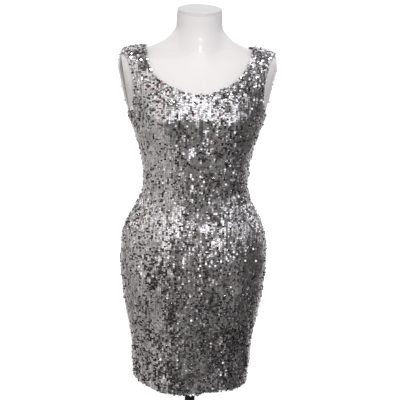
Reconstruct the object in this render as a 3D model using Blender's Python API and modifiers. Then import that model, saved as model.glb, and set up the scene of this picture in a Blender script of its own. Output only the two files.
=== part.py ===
"""A sleeveless sequined cocktail dress on a limbless dress form with a round stand.

Metres, +Z up. The front of the dress faces -Y and +X is to the right of someone who faces it.
The origin is in the middle of the base's underside. Heights in the tables are above the hem,
and angles go round the body from 0 at the centre front to 90 at the side and 180 at the back.
"""

import math
from collections import namedtuple

import bmesh
import bpy
from mathutils import Vector

# The dress
HEM_HEIGHT = 0.215          # lowest point of the hem above the floor
CLOTH = 0.0015              # sequined stretch cloth with its lining
SEAM_GAP = 0.0003           # between two pieces that are sewn together
UNDERARM = 0.668            # top of the side seam
FRONT_NECK = 0.7215         # bottom of the front neckline
BACK_NECK = 0.738           # bottom of the back neckline
NECK_HALF = 0.1215          # centre line to the neck end of the shoulder seam
NECK_SHIFT = 0.004          # the neckline hangs that far to the left, a third of the way up
SHOULDER_HALF = 0.1755      # centre line to the arm end of the shoulder seam
NECK_SQUARE = 2.30          # shape of the scooped neckline: across
NECK_DEEP = 2.0             # and upward
NECK_FLARE = 0.003          # the neckline turns out that far at the shoulder seam
NECK_FLARE_RISE = 12        # and how late it does so
FACING_CLOTH = 0.0008       # lining that shows along the back edge of each armhole
FACING_LINES = (0.001, 0.008, 0.016)   # distances in from that edge

# The fit of the cloth on the form
SNUG = 0.0012               # cloth to form where it is drawn tight
ARMHOLE_EASE = 0.0018       # added near the armholes, where the facing lies under the cloth
ARMHOLE_EASE_RISE = (0.600, 0.660)     # heights over which that comes in
ARMHOLE_EASE_TURN = 70.0    # and how far it spreads round the body from each side
GAPE = 0.0045               # added along the back edge of each armhole, which stands off
GAPE_RISE = (0.672, 0.700)  # heights over which that comes in
GAPE_FALL = (0.725, 0.785)  # and goes again
GAPE_ANGLE = 99.0           # angle of that edge
GAPE_TURN = 7.0             # and how far it spreads round the body
STRAP_EASE = 0.0042         # added on the shoulder seam, over its seam allowances
STRAP_TOP = 0.809           # where that is most, past the middle of the seam
STRAP_SPREAD = 0.0125
WAIST_EASE = 0.0022         # added round the waist, where the cloth spans the hollow
WAIST = 0.535               # the middle of that hollow
WAIST_SPREAD = 0.070
HEM_FADE = 0.130            # height over which the uneven hem fades out

# The form
ROUNDNESS = 2.2             # exponent of the body's sections: 2 is an ellipse
NECK_BLEND = 8.0            # how sharply the neck grows out of the shoulders
FORM_BOTTOM = 0.112         # flat underside of the form
NECK_TOP = 0.9135           # middle of the sloping neck top
NECK_TOP_SLOPE = 8.0        # degrees, the front is lower
NECK_START = 0.840          # above this the sections tilt to meet the sloping top
NECK_RADIUS = 0.0520
RIDGE_RANGE = (0.785, 0.900)      # heights between which the shoulder's ridge lies
CAP_RADIUS = 0.0515
CAP_THICK = 0.008
CAP_ROUND = 0.0035
ARM_CUT_LOW = (0.1590, 0.672)     # half width and height where the arm's flat cut ends
ARM_CUT_HIGH = (0.1800, 0.795)    # and where it meets the shoulder
ARM_CUTTER_SIZE = 0.30

# The stand
POLE_RADIUS = 0.0125
FLANGE_RADIUS = 0.042
FLANGE_THICK = 0.006
SOCKET_RADIUS = 0.0185
SOCKET_LENGTH = 0.050
BASE_RADIUS = 0.160
BASE_THICK = 0.012
HUB_RADIUS = 0.024
HUB_HEIGHT = 0.030
DISH = 0.0015               # rise of the base's top from its rim to the hub
EDGE_ROUND = 0.003

# Mesh fineness
QUARTER = 10                # columns from the centre to a side
SKIRT_ROWS = 26             # hem to underarm
YOKE_ROWS = 4               # underarm to neckline
YOKE_CROWDING = 1.4         # above 1, those rows are closer together near the underarm
STRAP_ROWS = 12             # neckline to shoulder seam
FIRST_RING = 0.008          # least height of the form's first full ring above its underside
FORM_YOKE_HEIGHTS = [0.668, 0.692, 0.716, 0.740, 0.763, 0.782, 0.795, 0.804, 0.8105, 0.815,
                     0.819, 0.823, 0.829, 0.838, 0.852, 0.870, 0.888]
CAP_STEPS = 4
ROUND_STEPS = 40            # sides of the flange and the neck cap
BASE_STEPS = 64
POLE_STEPS = 32
HALVINGS = 40               # of an interval, when a place on the body is searched for
SHARP_ANGLE = math.radians(35)

COLLECTION = "cocktail_dress_on_form"

Section = namedtuple("Section", "height half_width front back neck")
SECTIONS = (
    Section(-0.010, 0.1335, 0.0895, 0.0900, 0.000),
    Section(0.030, 0.1365, 0.0915, 0.0925, 0.000),
    Section(0.075, 0.1405, 0.0935, 0.0955, 0.000),
    Section(0.115, 0.1425, 0.0955, 0.0990, 0.000),
    Section(0.190, 0.1575, 0.1020, 0.1100, 0.000),
    Section(0.250, 0.1665, 0.1060, 0.1180, 0.000),
    Section(0.310, 0.1710, 0.1070, 0.1215, 0.000),
    Section(0.360, 0.1690, 0.1035, 0.1190, 0.000),
    Section(0.395, 0.1620, 0.0985, 0.1120, 0.000),
    Section(0.430, 0.1450, 0.0920, 0.1020, 0.000),
    Section(0.460, 0.1292, 0.0900, 0.0940, 0.000),
    Section(0.500, 0.1193, 0.0888, 0.0865, 0.000),
    Section(0.540, 0.1198, 0.0885, 0.0830, 0.000),
    Section(0.580, 0.1295, 0.0930, 0.0855, 0.000),
    Section(0.620, 0.1418, 0.1005, 0.0905, 0.000),
    Section(0.660, 0.1550, 0.1095, 0.0960, 0.000),
    Section(0.690, 0.1630, 0.1065, 0.0985, 0.010),
    Section(0.720, 0.1715, 0.0980, 0.1000, 0.030),
    Section(0.750, 0.1810, 0.0875, 0.0980, 0.050),
    Section(0.775, 0.1865, 0.0765, 0.0915, 0.062),
    Section(0.790, 0.1865, 0.0680, 0.0840, 0.066),
    Section(0.800, 0.1815, 0.0610, 0.0760, 0.066),
    Section(0.807, 0.1710, 0.0545, 0.0675, 0.065),
    Section(0.8125, 0.1550, 0.0490, 0.0600, 0.064),
    Section(0.8165, 0.1370, 0.0445, 0.0540, 0.063),
    Section(0.8215, 0.1175, 0.0403, 0.0475, 0.062),
    Section(0.830, 0.0970, 0.0380, 0.0430, 0.060),
    Section(0.840, 0.0780, 0.0360, 0.0400, 0.058),
    Section(0.855, 0.0600, 0.0330, 0.0360, 0.055),
    Section(0.875, 0.0400, 0.0280, 0.0300, 0.053),
    Section(0.930, 0.0300, 0.0200, 0.0200, 0.052),
)

Armhole = namedtuple("Armhole", "height front_angle back_angle")
ARMHOLES = (
    Armhole(0.668, 90.0, 90.0),
    Armhole(0.672, 80.0, 94.0),
    Armhole(0.680, 74.5, 96.3),
    Armhole(0.692, 70.5, 98.0),
    Armhole(0.716, 68.4, 99.1),
    Armhole(0.738, 67.5, 99.4),
)

StrapEdge = namedtuple("StrapEdge", "rise front back")
STRAP_EDGES = (
    StrapEdge(0.00, 0.1466, 0.1720),
    StrapEdge(0.20, 0.1474, 0.1758),
    StrapEdge(0.40, 0.1502, 0.1798),
    StrapEdge(0.60, 0.1545, 0.1820),
    StrapEdge(0.80, 0.1595, 0.1818),
    StrapEdge(0.93, 0.1660, 0.1782),
    StrapEdge(1.00, SHOULDER_HALF, SHOULDER_HALF),
)

HemPoint = namedtuple("HemPoint", "angle raise_by")
HEM = (
    HemPoint(-180, 0.006),
    HemPoint(-130, 0.014),
    HemPoint(-90, 0.026),
    HemPoint(-60, 0.012),
    HemPoint(-35, 0.000),
    HemPoint(-10, 0.000),
    HemPoint(9, 0.000),
    HemPoint(18, 0.006),
    HemPoint(50, 0.005),
    HemPoint(90, 0.011),
    HemPoint(130, 0.004),
    HemPoint(180, 0.006),
)

Fold = namedtuple("Fold", "height angle half_height half_angle lift tilt")
FOLDS = (
    Fold(0.618, 52, 0.014, 24, -0.0016, -0.0021),
    Fold(0.600, -58, 0.013, 20, -0.0012, 0.0018),
    Fold(0.566, 74, 0.008, 26, 0.0018, -0.0004),
    Fold(0.549, 60, 0.007, 22, -0.0016, -0.0002),
    Fold(0.528, 82, 0.008, 24, 0.0015, 0.0002),
    Fold(0.560, -70, 0.008, 22, 0.0016, 0.0004),
    Fold(0.540, -84, 0.007, 24, -0.0015, 0.0001),
    Fold(0.515, -62, 0.009, 26, 0.0014, -0.0003),
    Fold(0.552, 150, 0.009, 24, 0.0018, 0.0003),
    Fold(0.530, -155, 0.008, 26, -0.0016, 0.0002),
    Fold(0.508, 170, 0.009, 30, 0.0018, -0.0001),
    Fold(0.560, -130, 0.009, 20, 0.0014, 0.0004),
    Fold(0.405, -64, 0.020, 22, 0.0012, 0.0010),
    Fold(0.372, 66, 0.022, 20, 0.0012, -0.0010),
    Fold(0.060, 40, 0.070, 9, 0.0018, 0.0),
    Fold(0.060, -28, 0.080, 10, 0.0016, 0.0),
    Fold(0.070, 145, 0.080, 11, 0.0018, 0.0),
    Fold(0.060, -150, 0.070, 10, 0.0016, 0.0),
)

Bust = namedtuple("Bust", "height angle half_height half_angle depth")
BUST = Bust(0.654, 37.0, 0.052, 24.0, 0.0125)


def smooth(rows, at, column):
    """Value of a column at a place in the first one, on a curve that never overshoots its rows."""
    places = [row[0] for row in rows]
    values = [row[rows[0]._fields.index(column)] for row in rows]
    at = min(max(at, places[0]), places[-1])
    last = len(rows) - 1
    left = next(i for i in range(last) if at <= places[i + 1])
    steps = [places[i + 1] - places[i] for i in range(last)]
    slopes = [(values[i + 1] - values[i]) / steps[i] for i in range(last)]

    def tangent(i):
        if i == 0 or i == last:
            return slopes[min(i, last - 1)]
        before, after = slopes[i - 1], slopes[i]
        if before * after <= 0:
            return 0.0
        near = 2 * steps[i] + steps[i - 1]
        far = steps[i] + 2 * steps[i - 1]
        return (near + far) / (near / before + far / after)

    step = steps[left]
    t = (at - places[left]) / step
    return ((2 * t ** 3 - 3 * t ** 2 + 1) * values[left]
            + (t ** 3 - 2 * t ** 2 + t) * step * tangent(left)
            + (3 * t ** 2 - 2 * t ** 3) * values[left + 1]
            + (t ** 3 - t ** 2) * step * tangent(left + 1))


def bell(distance, half):
    """A soft hump, 1 in the middle."""
    return math.exp(-2.0 * (distance / half) ** 2)


def wrap(degrees):
    """An angle between -180 and 180."""
    return (degrees + 180.0) % 360.0 - 180.0


def body_radius(angle, height):
    """Distance from the body's axis to the form's surface; the angle is in degrees."""
    across = abs(math.sin(math.radians(angle)))
    along = math.cos(math.radians(angle))
    half_width = smooth(SECTIONS, height, "half_width")
    depth = smooth(SECTIONS, height, "front" if along > 0 else "back")
    neck = smooth(SECTIONS, height, "neck")
    body = ((across / half_width) ** ROUNDNESS + (abs(along) / depth) ** ROUNDNESS) ** (-1 / ROUNDNESS)
    joined = (body ** NECK_BLEND + neck ** NECK_BLEND) ** (1 / NECK_BLEND)
    upward = bell(height - BUST.height, BUST.half_height)
    sideways = bell(abs(wrap(angle)) - BUST.angle, BUST.half_angle)
    return joined + BUST.depth * upward * sideways


def body_point(angle, height):
    radius = body_radius(angle, height)
    turn = math.radians(angle)
    return Vector((radius * math.sin(turn), -radius * math.cos(turn), HEM_HEIGHT + height))


def body_normal(angle, height):
    """Outward direction of the form's surface."""
    around = body_point(angle + 0.5, height) - body_point(angle - 0.5, height)
    upward = body_point(angle, height + 0.0005) - body_point(angle, height - 0.0005)
    return around.cross(upward).normalized()


def angle_at(half_width, height, behind):
    """Angle, from 0 to 90 or from 180 to 90, where the section is that far from the centre."""
    low, high = 0.0, 90.0
    for _ in range(HALVINGS):
        middle = (low + high) / 2
        angle = 180.0 - middle if behind else middle
        if body_radius(angle, height) * math.sin(math.radians(angle)) < half_width:
            low = middle
        else:
            high = middle
    return 180.0 - high if behind else high


def ridge_height(half_width):
    """Height of the shoulder's ridge at a distance from the centre."""
    low, high = RIDGE_RANGE
    for _ in range(HALVINGS):
        middle = (low + high) / 2
        if body_radius(90.0, middle) > half_width:
            low = middle
        else:
            high = middle
    return low


def fold_lift(angle, height):
    """Soft ridges and troughs of the cloth."""
    lift = 0.0
    for fold in FOLDS:
        turn = wrap(angle - fold.angle)
        rise = height - fold.height - fold.tilt * turn
        lift += fold.lift * bell(rise, fold.half_height) * bell(turn, fold.half_angle)
    return lift


def share_between(value, ends):
    """How far a value has come between two ends, from 0 to 1."""
    low, high = ends
    return min(max((value - low) / (high - low), 0.0), 1.0)


def ease(angle, height):
    """Distance from the form to the inside of the cloth."""
    beside = bell(abs(wrap(angle)) - 90.0, ARMHOLE_EASE_TURN)
    armhole = ARMHOLE_EASE * beside * share_between(height, ARMHOLE_EASE_RISE)
    at_edge = bell(abs(wrap(angle)) - GAPE_ANGLE, GAPE_TURN)
    stands_off = share_between(height, GAPE_RISE) * (1 - share_between(height, GAPE_FALL))
    gape = GAPE * at_edge * stands_off
    strap = STRAP_EASE * bell(height - STRAP_TOP, STRAP_SPREAD)
    waist = WAIST_EASE * bell(height - WAIST, WAIST_SPREAD)
    cloth = SNUG + armhole + gape + strap + waist + fold_lift(angle, height)
    return max(cloth, SNUG) if height > FORM_BOTTOM else cloth


def cloth_point(angle, height, offset=0.0):
    """A point on the inside of the cloth, or moved out from it by an offset."""
    inside = ease(angle, height) + offset
    return body_point(angle, height) + body_normal(angle, height) * inside


def new_collection(name):
    collection = bpy.data.collections.new(name)
    bpy.context.scene.collection.children.link(collection)
    return collection


def new_material(name, color, roughness, metallic=0.0):
    material = bpy.data.materials.new(name)
    material.use_nodes = True
    shader = material.node_tree.nodes["Principled BSDF"]
    shader.inputs["Base Color"].default_value = (*color, 1.0)
    shader.inputs["Roughness"].default_value = roughness
    shader.inputs["Metallic"].default_value = metallic
    material.diffuse_color = (*color, 1.0)
    return material


def new_object(name, mesh, collection, material):
    mesh.materials.append(material)
    obj = bpy.data.objects.new(name, mesh)
    collection.objects.link(obj)
    return obj


def grid_mesh(name, grids):
    """One mesh from grids of points; points of different grids that meet are welded."""
    shape = bmesh.new()
    for grid in grids:
        rows = [[shape.verts.new(point) for point in row] for row in grid]
        for lower, upper in zip(rows, rows[1:]):
            for i in range(len(lower) - 1):
                shape.faces.new((lower[i], lower[i + 1], upper[i + 1], upper[i]))
    bmesh.ops.remove_doubles(shape, verts=shape.verts, dist=0.00001)
    bmesh.ops.recalc_face_normals(shape, faces=shape.faces)
    mesh = bpy.data.meshes.new(name)
    shape.to_mesh(mesh)
    shape.free()
    mesh.shade_smooth()
    return mesh


def face_outward(mesh):
    """Turns the whole sheet over if its faces look at the body's axis."""
    outward = sum(face.normal.x * face.center.x + face.normal.y * face.center.y for face in mesh.polygons)
    if outward < 0:
        mesh.flip_normals()


def thicken(sheet, thickness, way):
    """Gives a sheet its thickness on its outer side (way 1) or its inner side (way -1)."""
    wall = sheet.modifiers.new("wall", 'SOLIDIFY')
    wall.thickness = thickness
    wall.offset = way
    wall.use_even_offset = True


def hem_raise(angle):
    return smooth(HEM, wrap(angle), "raise_by")


def neck_half(rise, side):
    """Half width of the neckline at a share of the way up to the shoulder seam."""
    even = NECK_HALF * (1 - (1 - rise) ** NECK_DEEP) ** (1 / NECK_SQUARE)
    hang = NECK_SHIFT * 6.75 * rise * (1 - rise) ** 2
    return even - side * hang + NECK_FLARE * rise ** NECK_FLARE_RISE


def yoke_height(neck_bottom, row):
    """Heights between the underarm and the neckline, closer together near the underarm."""
    return UNDERARM + (neck_bottom - UNDERARM) * (row / YOKE_ROWS) ** YOKE_CROWDING


def strap_place(neck_bottom, row, share, side, behind):
    """Half width and height of a point of the strap, a share of the way out from the neckline."""
    rise = math.sin(math.pi / 2 * row / STRAP_ROWS) ** 2
    inner = neck_half(rise, side)
    outer = smooth(STRAP_EDGES, rise, "back" if behind else "front")
    half_width = inner + (outer - inner) * share
    return half_width, neck_bottom + (ridge_height(half_width) - neck_bottom) * rise


def panel_grid(side, behind, offset=0.0):
    """Inner points of one half of the front or the back, from its centre or neckline to its side."""
    neck_bottom = BACK_NECK if behind else FRONT_NECK
    shares = [i / QUARTER for i in range(QUARTER + 1)]

    def place(angle, height):
        point = cloth_point(side * angle, height, offset)
        half_gap = SEAM_GAP / 2
        point.y = max(point.y, half_gap) if behind else min(point.y, -half_gap)
        return point

    def row(edge_angle, height):
        points = []
        for share in shares:
            angle = 180.0 - (180.0 - edge_angle) * share if behind else edge_angle * share
            level = height
            if height < HEM_FADE:
                level += hem_raise(side * angle) * (1 - height / HEM_FADE) ** 2
            points.append(place(angle, level))
        return points

    grid = [row(90.0, UNDERARM * i / SKIRT_ROWS) for i in range(SKIRT_ROWS)]
    for i in range(YOKE_ROWS):
        height = yoke_height(neck_bottom, i)
        grid.append(row(smooth(ARMHOLES, height, "back_angle" if behind else "front_angle"), height))
    for i in range(STRAP_ROWS + 1):
        points = []
        for share in shares:
            half_width, height = strap_place(neck_bottom, i, share, side, behind)
            angle = 90.0 if i == STRAP_ROWS else angle_at(half_width, height, behind)
            points.append(place(angle, height))
        grid.append(points)
    return grid


def make_panel(name, behind, collection, material):
    """The front or back of the dress, cut in one piece with its straps."""
    mesh = grid_mesh(name, [panel_grid(side, behind) for side in (-1, 1)])
    face_outward(mesh)
    panel = new_object(name, mesh, collection, material)
    thicken(panel, CLOTH, 1.0)


def along_line(points, distance):
    """The point that far along a line of points."""
    for start, end in zip(points, points[1:]):
        length = (end - start).length
        if distance <= length:
            return start.lerp(end, distance / length)
        distance -= length
    return points[-1].copy()


def make_facing(name, side, collection, material):
    """The lining along the back edge of an armhole, a band just under the cloth."""
    rows = []
    for points in panel_grid(side, True, -SEAM_GAP)[SKIRT_ROWS:]:
        inward = list(reversed(points))
        rows.append([along_line(inward, distance) for distance in FACING_LINES])
    mesh = grid_mesh(name, [rows])
    face_outward(mesh)
    facing = new_object(name, mesh, collection, material)
    thicken(facing, FACING_CLOTH, -1.0)


def make_torso(name, collection, cutters, material):
    """The form: torso and neck in one, with a flat cut where each arm would start."""
    skirt_heights = [UNDERARM * i / SKIRT_ROWS for i in range(SKIRT_ROWS)]
    heights = [FORM_BOTTOM, FORM_BOTTOM + EDGE_ROUND]
    heights += [height for height in skirt_heights if height > FORM_BOTTOM + FIRST_RING]
    heights += FORM_YOKE_HEIGHTS
    neck_top = NECK_TOP - CAP_THICK - SEAM_GAP
    rings = []
    for height in heights + [neck_top]:
        ring = []
        for column in range(4 * QUARTER):
            angle = 90.0 * column / QUARTER
            level = height
            if height > NECK_START:
                tilt = math.tan(math.radians(NECK_TOP_SLOPE)) * math.cos(math.radians(angle))
                level -= NECK_RADIUS * tilt * (height - NECK_START) / (neck_top - NECK_START)
            point = body_point(angle, level)
            if height == FORM_BOTTOM:
                point.x *= 1 - EDGE_ROUND / point.xy.length
                point.y *= 1 - EDGE_ROUND / point.xy.length
            ring.append(point)
        rings.append(ring)

    shape = bmesh.new()
    loops = [[shape.verts.new(point) for point in ring] for ring in rings]
    for lower, upper in zip(loops, loops[1:]):
        for i in range(len(lower)):
            j = (i + 1) % len(lower)
            shape.faces.new((lower[i], lower[j], upper[j], upper[i]))
    shape.faces.new(reversed(loops[0]))
    shape.faces.new(loops[-1])
    bmesh.ops.recalc_face_normals(shape, faces=shape.faces)
    mesh = bpy.data.meshes.new(name)
    shape.to_mesh(mesh)
    shape.free()
    mesh.shade_smooth()
    mesh.set_sharp_from_angle(angle=SHARP_ANGLE)
    torso = new_object(name, mesh, collection, material)
    for side in (-1, 1):
        cut = torso.modifiers.new("arm cut", 'BOOLEAN')
        cut.operation = 'DIFFERENCE'
        cut.object = arm_cutter(side, cutters)


def arm_cutter(side, collection):
    """A block whose inner face is the slanted flat of one arm."""
    low = Vector((side * ARM_CUT_LOW[0], 0.0, HEM_HEIGHT + ARM_CUT_LOW[1]))
    high = Vector((side * ARM_CUT_HIGH[0], 0.0, HEM_HEIGHT + ARM_CUT_HIGH[1]))
    lean = math.atan2(high.x - low.x, high.z - low.z)
    size = ARM_CUTTER_SIZE
    bpy.ops.mesh.primitive_cube_add(size=size)
    cutter = bpy.context.object
    cutter.name = "arm_cutter_right" if side > 0 else "arm_cutter_left"
    cutter.rotation_euler = (0.0, lean, 0.0)
    outward = Vector((side * math.cos(lean), 0.0, -side * math.sin(lean)))
    cutter.location = (low + high) / 2 + outward * size / 2
    cutter.hide_render = True
    cutter.display_type = 'WIRE'
    for holder in list(cutter.users_collection):
        holder.objects.unlink(cutter)
    collection.objects.link(cutter)
    return cutter


def turned(name, profile, steps, collection, material):
    """A closed solid turned about Z. The profile runs from the axis out, down and back to it."""
    mesh = bpy.data.meshes.new(name)
    points = [(radius, 0.0, height) for radius, height in profile]
    mesh.from_pydata(points, [(i, i + 1) for i in range(len(points) - 1)], [])
    solid = new_object(name, mesh, collection, material)
    screw = solid.modifiers.new("turn", 'SCREW')
    screw.steps = steps
    screw.render_steps = steps
    screw.use_merge_vertices = True
    screw.merge_threshold = 0.00001
    screw.use_smooth_shade = True
    return solid


def make_neck_cap(collection, material):
    """The disc that closes the neck, with a rounded rim."""
    profile = [(0.0, 0.0)]
    for i in range(CAP_STEPS + 1):
        turn = math.pi / 2 * i / CAP_STEPS
        profile.append((CAP_RADIUS - CAP_ROUND * (1 - math.sin(turn)), -CAP_ROUND * (1 - math.cos(turn))))
    profile.append((CAP_RADIUS, -CAP_THICK))
    profile.append((0.0, -CAP_THICK))
    cap = turned("neck_cap", profile, ROUND_STEPS, collection, material)
    cap.location = (0.0, 0.0, HEM_HEIGHT + NECK_TOP)
    cap.rotation_euler = (math.radians(NECK_TOP_SLOPE), 0.0, 0.0)


def make_stand(collection, metal):
    """Round base with its hub, the pole, and the flange that carries the form."""
    hub_foot = BASE_THICK + DISH
    pole_bore = POLE_RADIUS + SEAM_GAP
    base = (
        (0.0, BASE_THICK),
        (pole_bore, BASE_THICK),
        (pole_bore, HUB_HEIGHT),
        (HUB_RADIUS - EDGE_ROUND, HUB_HEIGHT),
        (HUB_RADIUS, HUB_HEIGHT - EDGE_ROUND),
        (HUB_RADIUS, hub_foot + EDGE_ROUND),
        (HUB_RADIUS + EDGE_ROUND, hub_foot),
        (BASE_RADIUS - EDGE_ROUND, BASE_THICK),
        (BASE_RADIUS, BASE_THICK - EDGE_ROUND),
        (BASE_RADIUS, EDGE_ROUND / 2),
        (BASE_RADIUS - EDGE_ROUND / 2, 0.0),
        (0.0, 0.0),
    )
    turned("stand_base", base, BASE_STEPS, collection, metal)

    form_bottom = HEM_HEIGHT + FORM_BOTTOM
    flange_top = form_bottom - SEAM_GAP
    flange_low = flange_top - FLANGE_THICK
    flange = (
        (0.0, flange_top),
        (FLANGE_RADIUS, flange_top),
        (FLANGE_RADIUS, flange_low + EDGE_ROUND / 2),
        (FLANGE_RADIUS - EDGE_ROUND / 2, flange_low),
        (SOCKET_RADIUS, flange_low),
        (SOCKET_RADIUS, flange_top - SOCKET_LENGTH),
        (pole_bore, flange_top - SOCKET_LENGTH),
        (pole_bore, flange_low),
        (0.0, flange_low),
    )
    turned("pole_flange", flange, ROUND_STEPS, collection, metal)

    pole_low = BASE_THICK + SEAM_GAP
    pole_high = flange_low - SEAM_GAP
    shape = bmesh.new()
    bmesh.ops.create_cone(shape, cap_ends=True, segments=POLE_STEPS, radius1=POLE_RADIUS,
                          radius2=POLE_RADIUS, depth=pole_high - pole_low)
    bmesh.ops.translate(shape, verts=shape.verts, vec=(0.0, 0.0, (pole_low + pole_high) / 2))
    mesh = bpy.data.meshes.new("stand_pole")
    shape.to_mesh(mesh)
    shape.free()
    mesh.shade_smooth()
    mesh.set_sharp_from_angle(angle=SHARP_ANGLE)
    new_object("stand_pole", mesh, collection, metal)


for old in list(bpy.data.objects):
    bpy.data.objects.remove(old)

parts = new_collection(COLLECTION)
cutters = new_collection("cutters")
sequined = new_material("silver sequined cloth", (0.46, 0.45, 0.45), 0.30, 0.8)
lining = new_material("pale grey lining", (0.62, 0.60, 0.58), 0.55)
white = new_material("white gloss plastic", (0.84, 0.82, 0.80), 0.25)
black_metal = new_material("black painted steel", (0.02, 0.02, 0.022), 0.40, 0.3)

make_panel("dress_front", False, parts, sequined)
make_panel("dress_back", True, parts, sequined)
make_facing("armhole_lining_left", -1, parts, lining)
make_facing("armhole_lining_right", 1, parts, lining)
make_torso("form_torso", parts, cutters, white)
make_neck_cap(parts, white)
make_stand(parts, black_metal)
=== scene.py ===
"""Looks for a sequined cocktail dress on a dress form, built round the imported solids.

Metres, +Z up. The front of the dress faces -Y. Heights in the tables are above the hem, and
angles go round the body in degrees, from 0 at the centre front to 90 at the side and 180 behind.
"""

import math
from collections import namedtuple

import bmesh
import bpy
import numpy as np
from mathutils import Matrix, Vector


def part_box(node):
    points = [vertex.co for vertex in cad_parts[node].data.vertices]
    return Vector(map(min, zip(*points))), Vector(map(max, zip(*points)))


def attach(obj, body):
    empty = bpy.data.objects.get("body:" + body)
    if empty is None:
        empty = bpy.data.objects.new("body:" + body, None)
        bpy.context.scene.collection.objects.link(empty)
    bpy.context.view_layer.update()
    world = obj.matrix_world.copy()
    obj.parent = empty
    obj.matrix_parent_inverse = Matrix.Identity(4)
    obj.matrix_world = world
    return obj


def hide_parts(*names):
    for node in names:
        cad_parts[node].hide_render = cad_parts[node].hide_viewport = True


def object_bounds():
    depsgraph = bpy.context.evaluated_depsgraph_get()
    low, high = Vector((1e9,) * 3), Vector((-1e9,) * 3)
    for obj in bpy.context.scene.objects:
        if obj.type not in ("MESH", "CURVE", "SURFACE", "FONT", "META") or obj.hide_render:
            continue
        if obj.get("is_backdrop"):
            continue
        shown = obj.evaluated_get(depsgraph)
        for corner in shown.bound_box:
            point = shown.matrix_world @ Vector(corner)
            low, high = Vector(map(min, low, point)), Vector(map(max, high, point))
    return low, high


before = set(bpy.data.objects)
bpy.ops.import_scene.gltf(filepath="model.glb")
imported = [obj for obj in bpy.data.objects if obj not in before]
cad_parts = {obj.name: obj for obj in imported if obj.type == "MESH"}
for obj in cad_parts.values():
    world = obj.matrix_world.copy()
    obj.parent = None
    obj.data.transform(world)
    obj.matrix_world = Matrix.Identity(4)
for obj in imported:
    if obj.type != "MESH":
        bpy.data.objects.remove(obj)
cad_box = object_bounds()

# ------------------------------
# The stand's base. A weighted round plate with a short hub that takes the pole, turned in one
# piece and powder coated satin black. The coat is a little dusty on its upper faces.
# ------------------------------
PLATE_THICK = 0.012
DISH = 0.0015
HUB_RADIUS = 0.024
HUB_FILLET = 0.003
POLE_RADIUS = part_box("stand_pole")[1].x
BORE_RADIUS = POLE_RADIUS + 0.0003
BASE_SIDES = 128
BASE_EDGE = 0.0015


def feed(tree, socket, value):
    """Gives a socket a plain value or another node's output."""
    if isinstance(value, bpy.types.NodeSocket):
        tree.links.new(value, socket)
    else:
        socket.default_value = value


def set_inputs(tree, node, **inputs):
    """Feeds a node's inputs by their names."""
    for name, value in inputs.items():
        feed(tree, node.inputs[name.replace("_", " ")], value)


def add_node(tree, kind, settings=None, **inputs):
    """Puts a shader node in a tree, with its settings and inputs."""
    node = tree.nodes.new("ShaderNode" + kind)
    for name, value in (settings or {}).items():
        setattr(node, name, value)
    set_inputs(tree, node, **inputs)
    return node


def join_values(tree, kind, *values, **settings):
    """Puts a shader node in a tree that takes values in the order of its inputs."""
    node = add_node(tree, kind, settings)
    for socket, value in zip(node.inputs, values):
        feed(tree, socket, value)
    return node


def calculate(tree, operation, *values):
    """One step of arithmetic on plain values or other nodes' outputs."""
    return join_values(tree, "Math", *values, operation=operation).outputs[0]


def blend_colors(tree, share, first, second):
    """A color between two, by a share that changes over the surface."""
    return add_node(tree, "Mix", {"data_type": "RGBA"}, Factor=share,
                    A=(*first, 1), B=(*second, 1)).outputs["Result"]


def raise_surface(tree, shader, height, strength, distance):
    """Lets a height stand out of the finish as a bump."""
    bump = add_node(tree, "Bump", Height=height, Strength=strength, Distance=distance)
    tree.links.new(bump.outputs["Normal"], shader.inputs["Normal"])


def new_effect(name, inputs, outputs):
    """A shader node group with float inputs, and its two end nodes."""
    effect = bpy.data.node_groups.new(name, "ShaderNodeTree")
    for title, value in inputs:
        socket = effect.interface.new_socket(title, in_out="INPUT", socket_type="NodeSocketFloat")
        socket.default_value = value
    for title, kind in outputs:
        effect.interface.new_socket(title, in_out="OUTPUT", socket_type=kind)
    return effect, effect.nodes.new("NodeGroupInput"), effect.nodes.new("NodeGroupOutput")


def new_finish(name):
    """A material with its tree and its Principled shader."""
    material = bpy.data.materials.new(name)
    material.use_nodes = True
    return material, material.node_tree, material.node_tree.nodes["Principled BSDF"]


def build_uneven_coat():
    """Cloudy unevenness: a value that wanders between From and To, and a fine grain's height."""
    effect, given, result = new_effect(
        "uneven coat",
        [("Cloud Size", 0.05), ("From", 0.3), ("To", 0.5), ("Grain Size", 0.001)],
        [("Value", "NodeSocketFloat"), ("Grain", "NodeSocketFloat")])
    place = add_node(effect, "TexCoord").outputs["Object"]
    clouds = add_node(effect, "TexNoise", Vector=place, Detail=4.0, Roughness=0.6,
                      Scale=calculate(effect, "DIVIDE", 1.0, given.outputs["Cloud Size"]))
    wander = add_node(effect, "MapRange", Value=clouds.outputs["Fac"], From_Min=0.35,
                      From_Max=0.65, To_Min=given.outputs["From"], To_Max=given.outputs["To"])
    grain = add_node(effect, "TexNoise", Vector=place, Detail=2.0,
                     Scale=calculate(effect, "DIVIDE", 1.0, given.outputs["Grain Size"]))
    set_inputs(effect, result, Value=wander.outputs["Result"], Grain=grain.outputs["Fac"])
    return effect


def use_effect(tree, effect, **inputs):
    """Places an effect in a material with its own values."""
    return add_node(tree, "Group", {"node_tree": effect}, **inputs)


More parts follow.
